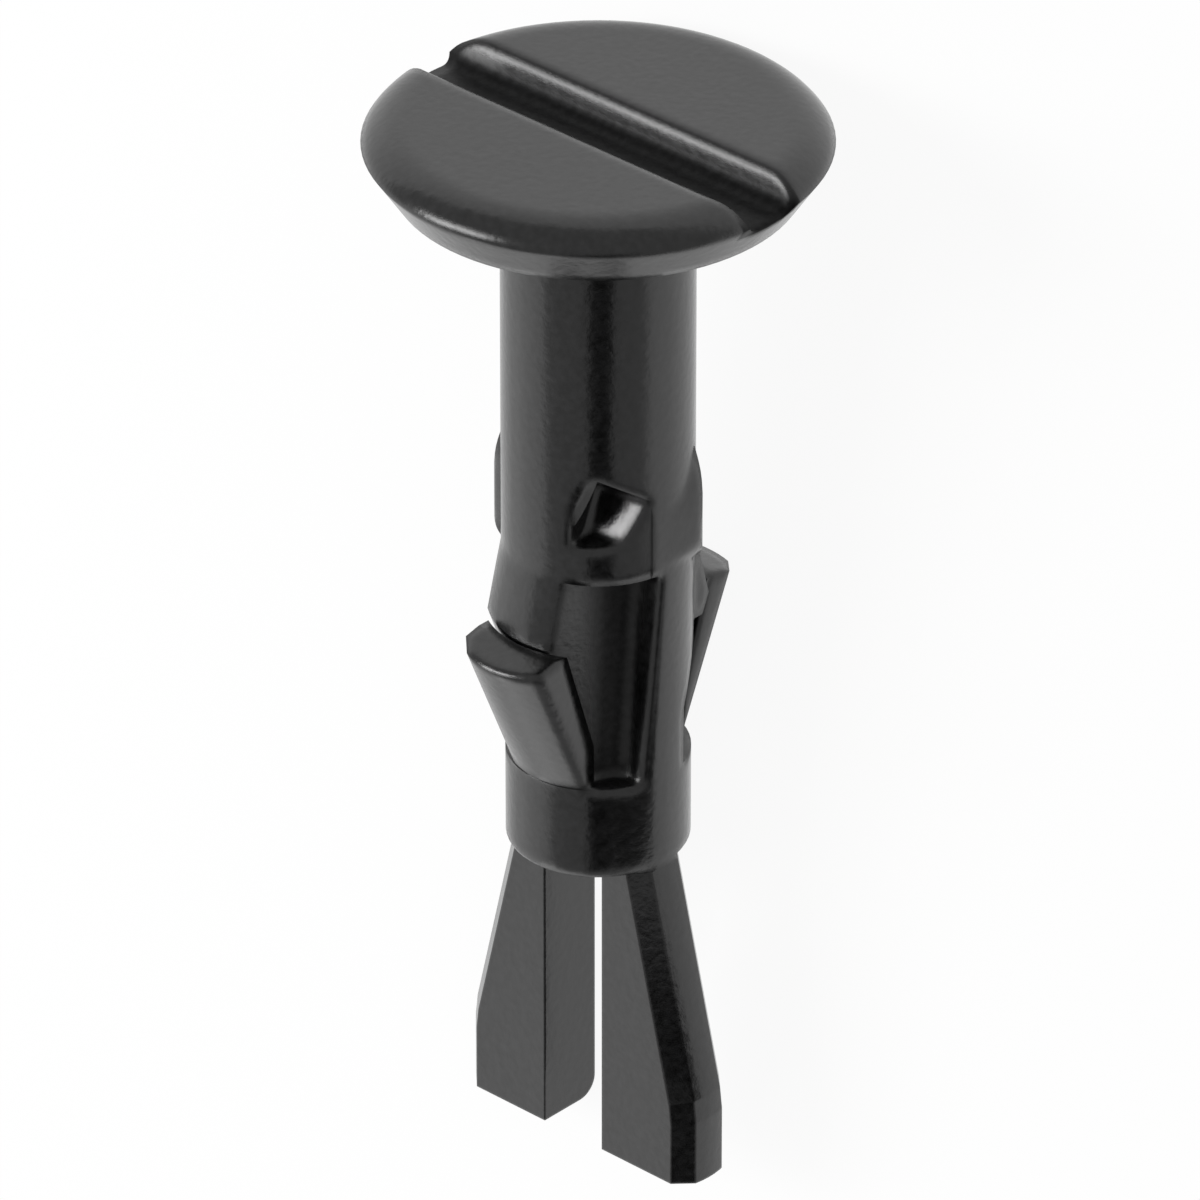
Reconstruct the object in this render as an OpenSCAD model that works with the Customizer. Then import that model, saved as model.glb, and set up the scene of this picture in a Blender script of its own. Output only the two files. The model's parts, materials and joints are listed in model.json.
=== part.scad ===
// Slotted quarter-turn bumper cover pin, moulded in one piece of black nylon.
// A low round head with a screwdriver slot carries a shank with two spring barbs,
// two turn lugs beside slanted notches, and a flared fork at the foot.
// The pin lies on the rim of its head, the tip of one barb and one corner of its foot,
// as it comes to rest.

/* [Head] */
// Diameter of the head at its rim
head_d = 19.2; // [14:0.1:26]
// Height of the flat crown above the rim
crown_h = 0.95; // [0.9:0.05:1.6]
// Radius of the shoulder between the crown and the rim
shoulder_r = 2; // [1.7:0.1:3]
// Height of the bevel under the rim
rim_bevel_h = 1.8; // [1.2:0.1:3]
// Diameter of the flat bearing face under the head
bearing_d = 16.8; // [12:0.1:18]

/* [Screwdriver slot] */
// Width of the slot at the crown
slot_w = 3.3; // [2.6:0.1:5]
// Width of the slot at its floor, before the corners are rounded
slot_floor_w = 2.5; // [1.8:0.1:3.2]
// Depth of the slot below the crown
slot_depth = 1.3; // [0.8:0.05:1.35]
// Radius of the corners along the slot's floor
slot_corner_r = 0.7; // [0.6:0.05:0.8]
// Radius of the slot's edges at the crown
slot_edge_r = 0.25; // [0.1:0.05:0.4]

/* [Shank] */
// Diameter of the shank under the head
shank_d = 8; // [6:0.1:10]
// Length of the shank, from the bearing face to the foot of the collar
shank_l = 31; // [26:0.5:45]
// Diameter of the collar at the foot of the shank
collar_d = 7.7; // [6:0.1:9]
// Height of the collar
collar_h = 4.3; // [2:0.1:6]
// Radius of the collar's lower edge
collar_edge_r = 0.3; // [0.1:0.05:0.6]

/* [Barbs] */
// Height of a barb's tip above the collar, at its inner edge
barb_h = 6.9; // [5:0.1:9]
// Width of a barb
barb_w = 4.4; // [3:0.1:5]
// Distance of a barb's tip from the axis
barb_reach = 6.65; // [5.5:0.05:8]
// Thickness of a barb at its tip
barb_t = 1.8; // [1:0.1:2.2]
// How much lower the outer edge of a barb's tip is than its inner edge
barb_tip_drop = 0.4; // [0.1:0.05:0.8]
// Bevel along a barb's outer edge on its plain side
barb_bevel = 0.35; // [0.2:0.05:0.7]
// Lean of a barb's inner face
barb_inner_lean = 18; // [12:0.5:24]
// Radius of a barb's hollow inner face
barb_inner_r = 4.6; // [4:0.1:6]
// Thickness of the spring root of a barb
barb_root_t = 0.65; // [0.5:0.05:1]
// Gap between a barb's tip and the shank
barb_gap = 0.25; // [0.2:0.05:0.6]
// How far the stop behind a barb reaches down below the barb's tip
stop_drop = 0.9; // [0.4:0.05:1.4]
// How far the stop behind a barb runs on past it, on the plain side
stop_past = 0.7; // [0:0.05:1]

/* [Pockets beside the barbs] */
// Height of the large pocket above the collar
pocket_h = 9.9; // [8:0.1:12]
// Half thickness of the rib behind a barb
rib_half_t = 1.36; // [0.8:0.02:2]
// Lean of the pocket's back wall away from the rib
pocket_back_lean = 12.5; // [0:0.5:16]
// Distance of the pocket's side wall from the middle of the web, at the top
pocket_side_top = 0.4; // [0.2:0.05:1]
// Distance of the pocket's side wall from the middle of the web, at the floor
pocket_side_foot = 1.2; // [0.6:0.05:1.6]
// Distance of the small pocket's side wall from the middle of the web, at the top
slit_side_top = 2.7; // [2:0.05:3]
// Height above the collar at which the small pocket's side wall starts to lean
slit_bend_h = 2.75; // [1:0.05:4]
// Radius of the pocket's upper corner
pocket_corner_r = 0.4; // [0.1:0.05:0.8]
// Radius of the upright corner between the pocket's back and side walls
pocket_fillet_r = 1.1; // [0.3:0.1:1.4]

/* [Turn lugs] */
// Distance of a lug's flat face from the axis
lug_reach = 4.16; // [3.2:0.02:5]
// Height of a lug's crest above the top of the pocket
lug_rise = 1; // [0.5:0.05:1.5]
// Radius of the long curve above a lug's crest
lug_head_r = 9.9; // [6:0.1:14]
// Radius of the short curve below a lug's crest
lug_foot_r = 1.8; // [1.2:0.1:2.6]
// Radius of a lug's corner on its plain side
lug_corner_r = 0.5; // [0.1:0.05:0.8]
// Reach of a lug along the barb direction, on its plain side
lug_plain_side = 2.1; // [1.2:0.05:2.6]
// Reach of a lug along the barb direction, on its notched side
lug_notch_side = 1; // [0.5:0.05:1.4]

/* [Notches] */
// Height of the notch's floor above the pocket's top
notch_rise = 1.85; // [1:0.05:3]
// Height of the notch's slanted face
notch_face_h = 1.8; // [1.2:0.05:2.4]
// Lean of the notch's slanted face from upright
notch_face_lean = 29; // [15:1:40]
// Slope of the notch's floor
notch_floor_slope = 11; // [0:1:20]
// Width of the notch across its slanted faces
notch_w = 1.7; // [1:0.05:2.4]
// Turn of the notch's cut away from square to the barb direction
notch_turn = 10; // [4:1:16]
// Height of the notch's outer edge above its floor
notch_lip_h = 1; // [0.6:0.05:1.4]
// How far the notch's outer edge leans in over its floor
notch_lip_in = 0.6; // [0.2:0.05:0.9]
// Height of the notch's upper corner above the slanted face
notch_peak_h = 1.3; // [0.6:0.05:1.8]
// Distance of the notch's back from the middle plane
notch_back = 1.3; // [0.8:0.05:2]

/* [Fork] */
// Length of the two legs below the collar
leg_l = 14.3; // [10:0.1:20]
// Thickness of a leg
leg_t = 3.1; // [2:0.1:4]
// Gap between the legs
leg_gap = 3.26; // [2:0.02:4]
// Distance of a leg's round outer face from the axis at the foot
foot_reach = 6.38; // [5:0.02:7.5]
// Height of the upright part of the outer face at the foot
foot_h = 3.5; // [2:0.1:5]
// Bevel along the outer edges of a leg
leg_bevel = 0.5; // [0.2:0.05:0.8]
// How much the middle step of the bend trims the corner between the flare and the foot
bend_trim = 0.06; // [0.02:0.01:0.15]
// Radius of the foot's corner on the parting side
foot_corner_r = 0.9; // [0.3:0.05:1.2]
// Radius of the crotch's corners
crotch_r = 0.8; // [0.3:0.05:1.2]

/* [Hidden] */
$fn = 96;

// Colour of the nylon
nylon_black = [0.09, 0.09, 0.095];

// Small overlap that keeps cuts clear of the faces they open
over = 1;
// Fine step between the collar and the faces that lean out of it
seam_step = 0.03;

// Heights along the pin, with the foot at zero
collar_z = leg_l;
collar_top = collar_z + collar_h;
barb_top = collar_top + barb_h;
// Height of the outer edge of a barb's tip
tip_z = barb_top - barb_tip_drop;
// Top of the gap behind a barb
room_top = barb_top - stop_drop;
pocket_top = collar_top + pocket_h;
bearing_z = collar_z + shank_l;
rim_z = bearing_z + rim_bevel_h;
crown_z = rim_z + crown_h;

shank_r = shank_d / 2;
collar_r = collar_d / 2;
head_r = head_d / 2;
bearing_r = bearing_d / 2;

// Depth to which the shank runs up into the head
head_root = rim_bevel_h / 4;

// Where the shoulder's arc leaves the flat crown
crown_r = head_r - sqrt(2 * shoulder_r * crown_h - crown_h * crown_h);

// Lean of a barb's outer face, from the collar's surface to its tip
barb_lean = atan((barb_reach - collar_r + seam_step) / (tip_z - collar_top));

// Place of a barb's inner face at its tip
barb_inner_tip = barb_reach - barb_t;

// Lean of a leg's outer face, from the collar's surface to the upright foot
flare_lean = atan((foot_reach - collar_r + seam_step) / (leg_l - foot_h));
// Distance of a leg's outer edges from the middle plane at the foot, before they are bevelled
foot_edge = foot_reach - collar_r + sqrt(collar_r * collar_r - leg_t * leg_t / 4);

// Lug and notch heights
lug_z = pocket_top + lug_rise;
notch_z = pocket_top + notch_rise;

// Size of a block that is larger than the shank all round
wide = 2 * (shank_r + over);
// Length of a cut or a bar that runs past the whole fork
far = 4 * leg_l;

// The rest pose: the pin lies on the head's rim, the crowned tip of the lower barb and
// the foot corner of one leg. For a roll round the pin's axis, the rim and the tip set
// the lean and the height of the axis, and the roll is right when the leg just touches.
tip_r = collar_r / cos(barb_lean);
tip_centre = barb_reach - tip_r;
function tip_reach(roll) =
    tip_centre * cos(roll) + sqrt(pow(collar_r * sin(roll), 2) + pow(tip_r * cos(roll), 2));
function lean_at(roll) = atan((head_r - tip_reach(roll)) / (rim_z - tip_z));
function height_at(roll) = head_r * cos(lean_at(roll)) - rim_z * sin(lean_at(roll));
function leg_reach_at(roll) = let (lean = lean_at(roll))
    cos(lean) * ((foot_edge - leg_bevel) * sin(roll) + (leg_t / 2 - foot_corner_r) * cos(roll))
    + foot_corner_r * (sqrt(pow(cos(lean) * cos(roll), 2) + pow(sin(lean), 2)) - sin(lean));
function settle(low, high, steps) = let (mid = (low + high) / 2)
    steps == 0 ? mid
    : leg_reach_at(mid) < height_at(mid) ? settle(mid, high, steps - 1)
    : settle(low, mid, steps - 1);
steepest_roll = 60;
halvings = 30;
rest_roll = settle(0, steepest_roll, halvings);
rest_lean = lean_at(rest_roll);
rest_h = height_at(rest_roll);

// The lying pin's ends along the floor: the foot's raised corner and the head's shoulder
rest_foot_x = -((foot_edge - leg_bevel) * sin(rest_roll) + leg_t / 2 * cos(rest_roll)) * sin(rest_lean);
rest_head_x = (crown_z - shoulder_r) * cos(rest_lean) + crown_r * sin(rest_lean) + shoulder_r;

// Draws its children and their copy, half a turn round the pin's axis
module both_ways() {
    for (turn = [0, 180]) rotate([0, 0, turn]) children();
}

// A flat outline drawn across the barb direction (Y) and the height (Z),
// carried along X from x0 to x1
module along_x(x0, x1) {
    translate([x0, 0, 0]) rotate([90, 0, 90]) linear_extrude(x1 - x0) children();
}

// A flat outline drawn across X and the height (Z), carried along Y to both sides
module along_y(thickness) {
    translate([0, thickness / 2, 0]) rotate([90, 0, 0]) linear_extrude(thickness) children();
}

// Half section of the head: bearing face, bevel, rim, rounded shoulder and flat crown
module head_section() {
    polygon([[0, bearing_z], [bearing_r, bearing_z], [head_r, rim_z], [crown_r, crown_z], [0, crown_z]]);
    intersection() {
        translate([crown_r, crown_z - shoulder_r]) circle(shoulder_r);
        translate([crown_r, rim_z]) square([head_r - crown_r, crown_h]);
    }
}

// Section of the slot: a flat floor, rounded corners and leaning walls
module slot_section() {
    lean = atan((slot_w - slot_floor_w) / 2 / slot_depth);
    floor_z = crown_z - slot_depth;
    // Distance of a corner's centre inside the wall's foot
    inset = slot_corner_r * tan(45 - lean / 2);
    centre_y = slot_floor_w / 2 - inset;
    wall_y = centre_y + slot_corner_r * cos(lean);
    wall_z = floor_z + slot_corner_r - slot_corner_r * sin(lean);
    top_y = slot_w / 2 + over * tan(lean);
    polygon([
        [-centre_y, floor_z], [centre_y, floor_z], [wall_y, wall_z],
        [top_y, crown_z + over], [-top_y, crown_z + over], [-wall_y, wall_z]
    ]);
    for (side = [-1, 1]) translate([side * centre_y, floor_z + slot_corner_r]) circle(slot_corner_r);
    // Softened edges: what lies over a quarter circle beside each wall's top
    edge_y = slot_w / 2 + slot_edge_r * (1 - sin(lean) / 2);
    for (side = [0, 1]) mirror([side, 0]) difference() {
        translate([0, crown_z - slot_edge_r]) square([edge_y, over]);
        translate([edge_y, crown_z - slot_edge_r]) circle(slot_edge_r);
    }
}

module head() {
    difference() {
        rotate_extrude() head_section();
        along_x(-head_d, head_d) slot_section();
    }
}

// Half section of the collar, with its lower edge rounded
module collar_section() {
    inner_r = collar_r - collar_edge_r;
    translate([0, collar_z]) square([inner_r, collar_h]);
    translate([0, collar_z + collar_edge_r]) square([collar_r, collar_h - collar_edge_r]);
    translate([inner_r, collar_z + collar_edge_r]) circle(collar_edge_r);
}

// The shank narrows a little from the pocket's top down to the collar
module shank_body() {
    rotate_extrude() collar_section();
    translate([0, 0, collar_top]) cylinder(r1 = collar_r, r2 = shank_r, h = pocket_h);
    translate([0, 0, pocket_top]) cylinder(r = shank_r, h = bearing_z + head_root - pocket_top);
}

// Half section of the stop: it widens from the shank down to the height of the barb's tip,
// and narrows below it, along the barb's inner face
module stop_section() {
    stop_r = barb_inner_tip - barb_gap;
    polygon([
        [0, room_top - over], [stop_r - (stop_drop + over) * tan(barb_inner_lean), room_top - over],
        [stop_r, barb_top], [shank_r, pocket_top], [0, pocket_top]
    ]);
}

// The shank flares behind each barb's tip, so that the barb can't be pressed in too far
module barb_stop() {
    intersection() {
        rotate_extrude() stop_section();
        translate([-barb_w / 2 - stop_past, -wide, room_top - 2 * over])
            cube([barb_w + stop_past, wide, pocket_top - room_top + 3 * over]);
    }
}

// A cylinder whose front line, towards -Y, passes through the point at y and z and leans outwards
module leaning_cylinder(r, y, z, lean) {
    translate([0, r / cos(lean) - y, z]) rotate([lean, 0, 0]) cylinder(r = r, h = far, center = true);
}

// Space behind a barb's inner face, drawn from the leaning face and the upright spring root
module barb_back(r, tip, root) {
    floor_z = collar_top;
    intersection() {
        union() {
            leaning_cylinder(r, tip, barb_top, barb_inner_lean);
            translate([0, r - root, floor_z]) cylinder(r = r, h = barb_h);
        }
        translate([-wide, -wide, floor_z]) cube([2 * wide, 2 * wide, barb_h + over]);
    }
}

// Side view of the block that a barb is cut from: its top falls outwards
module barb_side() {
    fall = barb_tip_drop / barb_t;
    polygon([
        [-rib_half_t, collar_top - over], [-rib_half_t, barb_top], [-barb_inner_tip, barb_top],
        [-wide, barb_top - (wide - barb_inner_tip) * fall], [-wide, collar_top - over]
    ]);
}

// Plan of a barb, with the middle of its outer face at the origin: one edge is bevelled
module barb_plan() {
    half = barb_w / 2;
    // Where the round outer face meets the side
    edge_y = collar_r - sqrt(collar_r * collar_r - half * half);
    polygon([
        [half, -over], [half, wide], [-half, wide], [-half, edge_y + barb_bevel],
        [edge_y + barb_bevel + over - half, -over]
    ]);
}

// One barb: a strip of wall that leans out of the shank, springing from the collar's top
module barb() {
    difference() {
        intersection() {
            leaning_cylinder(collar_r, collar_r - seam_step, collar_top, barb_lean);
            along_x(-barb_w, barb_w) barb_side();
            translate([0, seam_step - collar_r, collar_top]) rotate([barb_lean, 0, 0])
                linear_extrude(far, center = true) barb_plan();
        }
        barb_back(barb_inner_r, barb_inner_tip, collar_r - barb_root_t);
    }
}

// What is cut from the shank around one barb: the gap behind it, the large pocket and the slit
module barb_room() {
    gap_w = barb_w + 2 * barb_gap;
    difference() {
        translate([-gap_w / 2, -wide, collar_top]) cube([gap_w, wide, room_top - collar_top]);
        barb_back(barb_inner_r, barb_inner_tip - barb_gap, collar_r - barb_root_t - barb_gap);
    }
    large_pocket();
    slit();
}

// Plan of the large pocket, with the corner of its back and side walls at the origin
module pocket_plan() {
    r = pocket_fillet_r;
    centre_x = r * (1 - sin(pocket_back_lean)) / cos(pocket_back_lean);
    polygon([
        [centre_x, 0], [wide, 0], [wide, -wide], [-wide * tan(pocket_back_lean), -wide],
        [centre_x - r * cos(pocket_back_lean), r * sin(pocket_back_lean) - r], [centre_x, -r]
    ]);
    translate([centre_x, -r]) circle(r);
}

// The large pocket on the notched side, from the rib's face out through the shank's side
module large_pocket() {
    corner_x = rib_half_t + (shank_r - pocket_side_top) * tan(pocket_back_lean);
    side_lean = atan((pocket_side_foot - pocket_side_top) / pocket_h);
    intersection() {
        along_x(0, wide) difference() {
            polygon([
                [-wide, collar_top], [-pocket_side_foot, collar_top],
                [-pocket_side_top, pocket_top], [-wide, pocket_top]
            ]);
            translate([-pocket_side_top - pocket_corner_r, pocket_top - pocket_corner_r]) difference() {
                square(2 * pocket_corner_r);
                circle(pocket_corner_r);
            }
        }
        translate([corner_x, seam_step - pocket_side_top, pocket_top]) rotate([-side_lean, 0, 0])
            linear_extrude(far, center = true) pocket_plan();
    }
}

// The narrow slit on the plain side, leaning with the barb
module slit() {
    along_x(-wide, -rib_half_t) polygon([
        [-wide, collar_top], [-pocket_side_foot, collar_top],
        [-pocket_side_foot, collar_top + slit_bend_h], [-slit_side_top, room_top], [-wide, room_top]
    ]);
}

// Side view of a lug: a long curve above its crest and a short one below
module lug_side() {
    intersection() {
        translate([lug_reach - lug_head_r, lug_z]) circle(lug_head_r);
        translate([0, lug_z]) square(2 * lug_head_r);
    }
    intersection() {
        translate([lug_reach - lug_foot_r, lug_z]) circle(lug_foot_r);
        translate([lug_reach - lug_foot_r, lug_z - lug_foot_r]) square(lug_foot_r);
    }
    translate([0, lug_z - lug_foot_r]) square([lug_reach - lug_foot_r, lug_foot_r]);
}

// Plan of a lug: its face runs out of the shank's surface and ends in a round corner
module lug_plan() {
    corner = [lug_reach - lug_corner_r, lug_plain_side - lug_corner_r];
    polygon([
        [0, -lug_notch_side], [shank_r - seam_step, -lug_notch_side], [lug_reach, corner.y],
        corner, [corner.x, lug_plain_side], [0, lug_plain_side]
    ]);
    translate(corner) circle(lug_corner_r);
}

// A lug on the side of the shank, which swells out of it
module lug() {
    intersection() {
        along_y(wide) lug_side();
        translate([0, 0, lug_z]) linear_extrude(far, center = true) lug_plan();
    }
}

// The slanted notch beside a lug
module notch() {
    foot_y = -lug_notch_side - notch_face_h * tan(notch_face_lean);
    end_y = foot_y - notch_w;
    start = [shank_r, -lug_notch_side, 0];
    translate(start) rotate([0, 0, notch_turn]) translate(-start) along_x(notch_back, wide) polygon([
        [-lug_notch_side, notch_z + notch_face_h],
        [foot_y, notch_z],
        [end_y - over, notch_z - (notch_w + over) * tan(notch_floor_slope)],
        [end_y + notch_lip_in, notch_z + notch_lip_h],
        [-lug_notch_side - notch_w, notch_z + notch_face_h + notch_peak_h]
    ]);
}

// Outline of a leg seen along the fork: one corner of the foot is round
module leg_side() {
    half = leg_t / 2;
    translate([-half, foot_corner_r]) square([leg_t, leg_l + over - foot_corner_r]);
    translate([-half, 0]) square([leg_t - foot_corner_r, foot_corner_r]);
    translate([half - foot_corner_r, foot_corner_r]) circle(foot_corner_r);
}

// Bar whose two sloping faces bevel the outer edges of a leg, which lie at x = 0
module bevel_bar() {
    half = leg_t / 2;
    side = half + over;
    linear_extrude(far, center = true) polygon([
        [-far, -side], [-leg_bevel - over, -side], [half - leg_bevel, 0],
        [-leg_bevel - over, side], [-far, side]
    ]);
}

// A leg's round outer face with its bevelled edges, upright at the origin and leaning above it
module leg_face(lean) {
    rotate([0, -lean, 0]) intersection() {
        translate([-collar_r, 0, 0]) cylinder(r = collar_r, h = far, center = true);
        translate([foot_edge - foot_reach, 0, 0]) bevel_bar();
    }
}

// One leg: its outer face leans out of the collar and turns upright at the foot in small steps
module leg() {
    intersection() {
        along_x(-over, foot_reach + over) leg_side();
        translate([foot_reach, 0, foot_h]) leg_face(0);
        translate([foot_reach - bend_trim, 0, foot_h]) leg_face(flare_lean / 2);
        translate([foot_reach, 0, foot_h]) leg_face(flare_lean);
    }
}

// The gap between the legs, with rounded corners under the collar
module fork_gap() {
    corner_x = leg_gap / 2 - crotch_r;
    translate([-leg_gap / 2, -over]) square([leg_gap, leg_l - crotch_r + over]);
    translate([-corner_x, 0]) square([2 * corner_x, leg_l]);
    for (side = [-1, 1]) translate([side * corner_x, leg_l - crotch_r]) circle(crotch_r);
}

module fork() {
    difference() {
        for (side = [0, 1]) mirror([side, 0, 0]) leg();
        along_y(leg_t + 2 * over) fork_gap();
    }
}

// The pin upright on its foot
module upright_pin() {
    head();
    difference() {
        union() {
            shank_body();
            both_ways() {
                barb_stop();
                lug();
            }
        }
        both_ways() {
            barb_room();
            notch();
        }
    }
    both_ways() barb();
    fork();
}

module pin() {
    color(nylon_black)
        translate([-(rest_foot_x + rest_head_x) / 2, 0, rest_h])
            rotate([rest_lean - 90, 0, -90]) rotate([0, 0, -rest_roll]) upright_pin();
}

pin();
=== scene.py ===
"""Looks of the bumper cover pin: one moulding of black satin nylon with rounded edges.

The pin lies on a plain pale floor as it comes to rest. Lengths are in metres.
"""
import json
import math

import bpy
import numpy as np
from mathutils import Matrix, Vector


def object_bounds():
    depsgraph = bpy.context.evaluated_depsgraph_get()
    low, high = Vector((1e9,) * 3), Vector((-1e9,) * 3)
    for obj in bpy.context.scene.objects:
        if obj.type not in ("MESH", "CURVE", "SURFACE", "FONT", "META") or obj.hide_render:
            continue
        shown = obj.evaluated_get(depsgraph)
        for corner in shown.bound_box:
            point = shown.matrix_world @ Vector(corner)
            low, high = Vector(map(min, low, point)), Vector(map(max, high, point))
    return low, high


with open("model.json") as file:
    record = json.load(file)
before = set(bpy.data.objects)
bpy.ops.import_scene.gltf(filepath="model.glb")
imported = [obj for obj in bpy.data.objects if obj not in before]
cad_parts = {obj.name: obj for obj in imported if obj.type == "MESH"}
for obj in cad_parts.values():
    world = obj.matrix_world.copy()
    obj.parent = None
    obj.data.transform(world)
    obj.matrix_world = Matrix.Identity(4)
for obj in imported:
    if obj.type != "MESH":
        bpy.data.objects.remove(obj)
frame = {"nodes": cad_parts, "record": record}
cad_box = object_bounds()

MM = 0.001

# The photograph's frame and the view of the pin in it, in the pin's own upright terms:
# turned round from the slot's direction, raised above the crown's plane, far away with a long lens
PHOTO_SIDE = 1200
FOCAL_PX = 13610
VIEW_TURN = math.radians(-47.27)
VIEW_RISE = math.radians(30.75)
VIEW_DISTANCE = 560.2 * MM
AIM_HEIGHT = 25.487 * MM
AXIS_PX = 598.2
SENSOR = 36.0
CLIP_RANGE = (0.01, 10)

# Height of the head's bearing face above the foot, along the pin
SEAT_HEIGHT = 45.3 * MM

# Black nylon: edges are rounded in the gloss, less on the fork than above it
EDGE_RADIUS = 0.75 * MM
FORK_EDGE_RADIUS = 0.15 * MM
FORK_TOP = 14.3 * MM
EDGE_SAMPLES = 16
NYLON_BLACK = (0.0015, 0.0015, 0.0015, 1)
NYLON_GREY = (0.009, 0.009, 0.0093, 1)
NYLON_IOR = 1.6
# Its skin: a fine grain, a slow unevenness from the flow in the mould, and in the recesses a rougher
# gloss that is darkened by painted shade
GRAIN_PER_M = 3000
GRAIN_CONTRAST = (0.35, 0.7)
GRAIN_DETAIL = 3
GRAIN_DEPTH = 0.05 * MM
GRAIN_STRENGTH = 0.26
FLOW_PER_M = 420
FLOW_DETAIL = 2
ROUGHNESS_RANGE = (0.17, 0.25)
RECESS_ROUGHNESS = 0.4
# Painted shade: how far the gloss deep in a recess is darkened by mixing in Metallic over the black
# base colour
RECESS_PAINTED_SHADE = 0.8
# Where the recesses are, along the pin from its foot and off its axis
POCKET_SPAN = (18.6 * MM, 28.5 * MM)
POCKET_FADE = (3.4 * MM, 2.2 * MM)
SLOT_FADE = (47.75 * MM, 47.1 * MM)
SLOT_FLOOR = 46.7 * MM
SLOT_HALF = 1.65 * MM
BRINK = 0.1 * MM

# Floor: the camera sees part of it as plain white and part of it lit, so that the shadow stays
FLOOR_HALF = 3.0
FLOOR_COLOUR = (0.9, 0.9, 0.9, 1)
FLOOR_WHITE_SHARE = 0.92

# Studio: an even surround and soft boxes, all at one distance from the pin's middle.
# Each box has its direction, its width and height, and its power in watts.
SURROUND = 0.5
WHITE = (1, 1, 1, 1)
BOX_REACH = 0.5
SOFT_BOXES = {
    "left box": ((-0.56, 0.767, 0.31), (0.5, 0.35), 0.36),
    "foot box": ((-0.93, 0.33, 0.1), (0.3, 0.25), 0.25),
    "slot box": ((0.12, 0.785, 0.6), (0.2, 0.14), 0.8),
    "notch box": ((0.234, 0.561, 0.793), (0.18, 0.18), 1.0),
}

# Black cards. The shank's has its middle and its two half sides. The pocket's covers what the
# pocket mirrors between two directions, close beside the pin.
CARD_BLACK = (0, 0, 0, 1)
SHANK_CARD = ((-0.35, -0.225, 0.35), (0.15, 0, 0), (0, 0.135, 0))
POCKET_MIDDLE = (-3.7 * MM, -1.3 * MM, 8.4 * MM)
POCKET_SEES_LOW = (-0.495, -0.854, -0.15)
POCKET_SEES_HIGH = (-0.614, -0.386, 0.688)
POCKET_CARD_REACH = 35 * MM
POCKET_CARD_HALF = (21 * MM, 4.2 * MM)


def pin_axes():
    """The pin's own axes and its foot in the frame, read from the record's two mounts.

    The shank's mount points from head to foot. The seat's mount lies off the axis, away from
    the barb that is down, and so gives the direction of the barbs.
    """
    mounts = {m["name"]: m for m in frame["record"]["mounts"]}
    up = -Vector(mounts["shank"]["axis"]).normalized()
    on_shank = Vector(mounts["shank"]["pos_m"])
    seat = Vector(mounts["head_seat"]["pos_m"])
    on_axis = on_shank + up * (seat - on_shank).dot(up)
    barb_way = (on_axis - seat).normalized()
    slot_way = barb_way.cross(up)
    return slot_way, barb_way, up, on_axis - up * SEAT_HEIGHT


SLOT_WAY, BARB_WAY, PIN_UP, FOOT = pin_axes()


def ramp(nodes, links, value, start, end):
    """Rises evenly from 0 where the value is at start to 1 where it is at end."""
    node = nodes.new("ShaderNodeMapRange")
    node.inputs["From Min"].default_value = start
    node.inputs["From Max"].default_value = end
    links.new(value, node.inputs["Value"])
    return node.outputs["Result"]


def both(nodes, links, one, other, operation="MULTIPLY"):
    """One value times another, or the two joined by another operation."""
    node = nodes.new("ShaderNodeMath")
    node.operation = operation
    links.new(one, node.inputs[0])
    links.new(other, node.inputs[1])
    return node.outputs[0]


def place_on_pin(nodes, links, place):
    """A point's distance off the pin's axis, off the slot's middle, and up from the foot."""
    own = nodes.new("ShaderNodeMapping")
    own.vector_type = "TEXTURE"
    own.inputs["Location"].default_value = FOOT
    turn = Matrix((SLOT_WAY, BARB_WAY, PIN_UP)).transposed()
    own.inputs["Rotation"].default_value = turn.to_euler()
    flat = nodes.new("ShaderNodeVectorMath")
    flat.operation = "MULTIPLY"
    flat.inputs[1].default_value = (1, 1, 0)
    off_axis = nodes.new("ShaderNodeVectorMath")
    off_axis.operation = "LENGTH"
    parts = nodes.new("ShaderNodeSeparateXYZ")
    beside = nodes.new("ShaderNodeMath")
    beside.operation = "ABSOLUTE"
    links.new(place.outputs["Object"], own.inputs["Vector"])
    links.new(own.outputs["Vector"], flat.inputs[0])
    links.new(flat.outputs["Vector"], off_axis.inputs[0])
    links.new(own.outputs["Vector"], parts.inputs["Vector"])
    links.new(parts.outputs["Y"], beside.inputs[0])
    return off_axis.outputs["Value"], beside.outputs[0], parts.outputs["Z"]


def recess_depth(nodes, links, off_axis, beside, high):
    """How deep a point lies: 0 on the open skin, 1 well inside a pocket or the slot.

    A pocket's depth runs from the shank's wall towards the axis, between the collar and the
    pockets' top. The slot's depth runs down from the crown, between the slot's walls.
    """
    low_end, top_end = POCKET_SPAN
    pocket = ramp(nodes, links, off_axis, *POCKET_FADE)
    pocket = both(nodes, links, pocket, ramp(nodes, links, high, low_end - BRINK, low_end))
    pocket = both(nodes, links, pocket, ramp(nodes, links, high, top_end + BRINK, top_end))
    under_floor = SLOT_FLOOR - 2 * BRINK
    slot = ramp(nodes, links, high, *SLOT_FADE)
    slot = both(nodes, links, slot, ramp(nodes, links, high, under_floor, under_floor + BRINK))
    slot = both(nodes, links, slot, ramp(nodes, links, beside, SLOT_HALF + BRINK, SLOT_HALF))
    return both(nodes, links, pocket, slot, "MAXIMUM")


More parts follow.
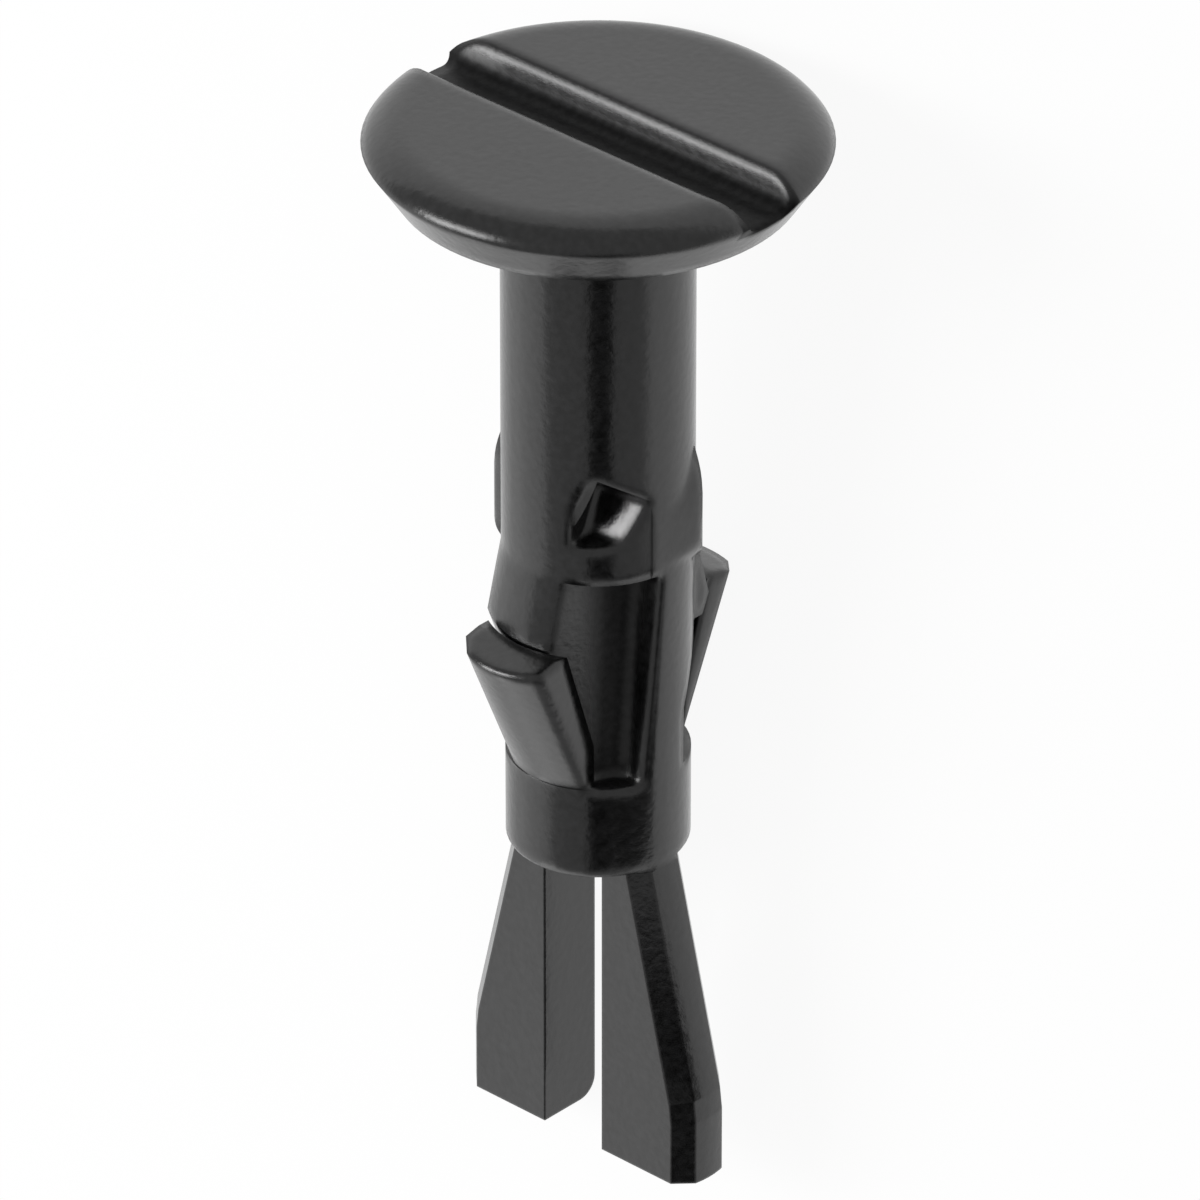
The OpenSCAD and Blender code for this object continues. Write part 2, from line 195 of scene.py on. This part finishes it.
def nylon_material():
    """Black nylon from a satin mould.

    The grain bumps and speckles the skin, and the flow changes its gloss a little. Deep in a
    recess the gloss is rougher and carries painted shade: there the shader takes its reflection from
    the black, as Metallic does.
    Edges are rounded in the gloss.
    """
    mat = bpy.data.materials.new("black nylon")
    mat.use_nodes = True
    nodes = mat.node_tree.nodes
    links = mat.node_tree.links
    shader = nodes["Principled BSDF"]
    shader.inputs["IOR"].default_value = NYLON_IOR
    place = nodes.new("ShaderNodeTexCoord")

    flow = nodes.new("ShaderNodeTexNoise")
    flow.inputs["Scale"].default_value = FLOW_PER_M
    flow.inputs["Detail"].default_value = FLOW_DETAIL
    gloss = nodes.new("ShaderNodeMapRange")
    gloss.inputs["To Min"].default_value, gloss.inputs["To Max"].default_value = ROUGHNESS_RANGE
    links.new(place.outputs["Object"], flow.inputs["Vector"])
    links.new(flow.outputs["Fac"], gloss.inputs["Value"])

    off_axis, beside, high = place_on_pin(nodes, links, place)
    deep = recess_depth(nodes, links, off_axis, beside, high)
    dull = nodes.new("ShaderNodeMix")
    dull.inputs["B"].default_value = RECESS_ROUGHNESS
    # Painted shade: Metallic follows the depth mask, so the black base colour darkens the gloss in
    # the pockets and the slot
    painted_shade = nodes.new("ShaderNodeMath")
    painted_shade.operation = "MULTIPLY"
    painted_shade.inputs[1].default_value = RECESS_PAINTED_SHADE
    links.new(deep, dull.inputs["Factor"])
    links.new(gloss.outputs["Result"], dull.inputs["A"])
    links.new(dull.outputs["Result"], shader.inputs["Roughness"])
    links.new(deep, painted_shade.inputs[0])
    links.new(painted_shade.outputs[0], shader.inputs["Metallic"])

    grain = nodes.new("ShaderNodeTexNoise")
    grain.inputs["Scale"].default_value = GRAIN_PER_M
    grain.inputs["Detail"].default_value = GRAIN_DETAIL
    links.new(place.outputs["Object"], grain.inputs["Vector"])
    speckle = ramp(nodes, links, grain.outputs["Fac"], *GRAIN_CONTRAST)
    black = nodes.new("ShaderNodeMix")
    black.data_type = "RGBA"
    black.inputs["A"].default_value = NYLON_BLACK
    black.inputs["B"].default_value = NYLON_GREY
    links.new(speckle, black.inputs["Factor"])
    links.new(black.outputs["Result"], shader.inputs["Base Color"])

    edges = nodes.new("ShaderNodeBevel")
    edges.samples = EDGE_SAMPLES
    rounding = nodes.new("ShaderNodeMix")
    rounding.inputs["A"].default_value = FORK_EDGE_RADIUS
    rounding.inputs["B"].default_value = EDGE_RADIUS
    links.new(ramp(nodes, links, high, FORK_TOP - BRINK, FORK_TOP), rounding.inputs["Factor"])
    links.new(rounding.outputs["Result"], edges.inputs["Radius"])
    bump = nodes.new("ShaderNodeBump")
    bump.inputs["Strength"].default_value = GRAIN_STRENGTH
    bump.inputs["Distance"].default_value = GRAIN_DEPTH
    links.new(grain.outputs["Fac"], bump.inputs["Height"])
    links.new(edges.outputs["Normal"], bump.inputs["Normal"])
    links.new(bump.outputs["Normal"], shader.inputs["Normal"])
    return mat


def finish_pin():
    """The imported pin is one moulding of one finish."""
    nylon = nylon_material()
    for slot in frame["nodes"]["pin"].material_slots:
        slot.material = nylon


def floor_material():
    """A white sweep: it takes the pin's shadow, and mirrors and the camera see it as white."""
    mat = bpy.data.materials.new("white floor")
    mat.use_nodes = True
    nodes = mat.node_tree.nodes
    links = mat.node_tree.links
    nodes.clear()
    out = nodes.new("ShaderNodeOutputMaterial")
    lit = nodes.new("ShaderNodeBsdfDiffuse")
    lit.inputs["Color"].default_value = FLOOR_COLOUR
    white = nodes.new("ShaderNodeEmission")
    white.inputs["Strength"].default_value = 1
    path = nodes.new("ShaderNodeLightPath")
    seen = nodes.new("ShaderNodeMath")
    seen.operation = "MULTIPLY"
    seen.inputs[1].default_value = FLOOR_WHITE_SHARE
    shiny = nodes.new("ShaderNodeMath")
    shiny.operation = "MAXIMUM"
    share = nodes.new("ShaderNodeMath")
    share.operation = "MAXIMUM"
    mix = nodes.new("ShaderNodeMixShader")
    links.new(path.outputs["Is Camera Ray"], seen.inputs[0])
    links.new(path.outputs["Is Glossy Ray"], shiny.inputs[0])
    links.new(path.outputs["Is Transmission Ray"], shiny.inputs[1])
    links.new(seen.outputs[0], share.inputs[0])
    links.new(shiny.outputs[0], share.inputs[1])
    links.new(share.outputs[0], mix.inputs["Fac"])
    links.new(lit.outputs["BSDF"], mix.inputs[1])
    links.new(white.outputs["Emission"], mix.inputs[2])
    links.new(mix.outputs["Shader"], out.inputs["Surface"])
    return mat


def flat_piece(name, middle, along, across, mat):
    """A rectangle given by its middle and its two half sides, its corners taken in turn."""
    turns = np.array([(-1, -1), (1, -1), (1, 1), (-1, 1)])
    corners = np.array(middle) + turns @ np.array([along, across])
    mesh = bpy.data.meshes.new(name)
    mesh.from_pydata(corners.tolist(), [], [(0, 1, 2, 3)])
    mesh.materials.append(mat)
    piece = bpy.data.objects.new(name, mesh)
    bpy.context.scene.collection.objects.link(piece)
    return piece


def floor():
    """A level square, far wider than any view."""
    flat_piece("floor", (0, 0, 0), (FLOOR_HALF, 0, 0), (0, FLOOR_HALF, 0), floor_material())


def card_material():
    """Dead black: neither colour nor gloss."""
    mat = bpy.data.materials.new("black card")
    mat.use_nodes = True
    shader = mat.node_tree.nodes["Principled BSDF"]
    shader.inputs["Base Color"].default_value = CARD_BLACK
    shader.inputs["Specular IOR Level"].default_value = 0
    return mat


def black_card(name, middle, along, across, mat):
    """A card that only the pin's gloss sees: it darkens what mirrors it, and casts no shadow."""
    card = flat_piece(name, middle, along, across, mat)
    card.visible_camera = False
    card.visible_diffuse = False
    card.visible_transmission = False
    card.visible_shadow = False


def cards():
    """A broad level card over the front of the shank, and a slim one beside the pocket."""
    mat = card_material()
    black_card("shank_card", *SHANK_CARD, mat)
    low = np.array(POCKET_SEES_LOW)
    high = np.array(POCKET_SEES_HIGH)
    towards = (low + high) / np.linalg.norm(low + high)
    sweep = (high - low) / np.linalg.norm(high - low)
    half_sweep, half_side = POCKET_CARD_HALF
    middle = np.array(POCKET_MIDDLE) + POCKET_CARD_REACH * towards
    black_card("pocket_card", middle, half_sweep * sweep, half_side * np.cross(towards, sweep), mat)


def soft_box(name, towards, size, power):
    """A soft box in a direction from the pin's middle, turned to face it."""
    lamp = bpy.data.lights.new(name, "AREA")
    lamp.shape = "RECTANGLE"
    lamp.size, lamp.size_y = size
    lamp.energy = power
    holder = bpy.data.objects.new(name, lamp)
    direction = Vector(towards).normalized()
    holder.location = (cad_box[0] + cad_box[1]) / 2 + direction * BOX_REACH
    holder.rotation_mode = "QUATERNION"
    holder.rotation_quaternion = direction.to_track_quat("Z", "Y")
    bpy.context.scene.collection.objects.link(holder)


def lights():
    """Broad boxes on the left and at the foot, two small bright ones above, and an even surround."""
    for name, (towards, size, power) in SOFT_BOXES.items():
        soft_box(name, towards, size, power)
    world = bpy.data.worlds.new("surround")
    world.use_nodes = True
    sky = world.node_tree.nodes["Background"]
    sky.inputs["Color"].default_value = WHITE
    sky.inputs["Strength"].default_value = SURROUND
    bpy.context.scene.world = world


def camera():
    """The photograph's view: the axis of the long lens passes just beside the pin's middle."""
    lens = bpy.data.cameras.new("camera")
    lens.sensor_width = SENSOR
    lens.lens = FOCAL_PX * SENSOR / PHOTO_SIDE
    eye = bpy.data.objects.new("camera", lens)
    across = SLOT_WAY * math.cos(VIEW_TURN) + BARB_WAY * math.sin(VIEW_TURN)
    back = across * math.cos(VIEW_RISE) + PIN_UP * math.sin(VIEW_RISE)
    right = PIN_UP.cross(back).normalized()
    high = back.cross(right)
    slide = (PHOTO_SIDE / 2 - AXIS_PX) / FOCAL_PX * VIEW_DISTANCE
    place = FOOT + PIN_UP * AIM_HEIGHT + back * VIEW_DISTANCE + right * slide
    turn = Matrix((right, high, back)).transposed()
    eye.matrix_world = Matrix.Translation(place) @ turn.to_4x4()
    lens.clip_start, lens.clip_end = CLIP_RANGE
    bpy.context.scene.collection.objects.link(eye)
    bpy.context.scene.camera = eye


finish_pin()
floor()
cards()
lights()
camera()
bpy.context.scene.view_settings.view_transform = "Standard"
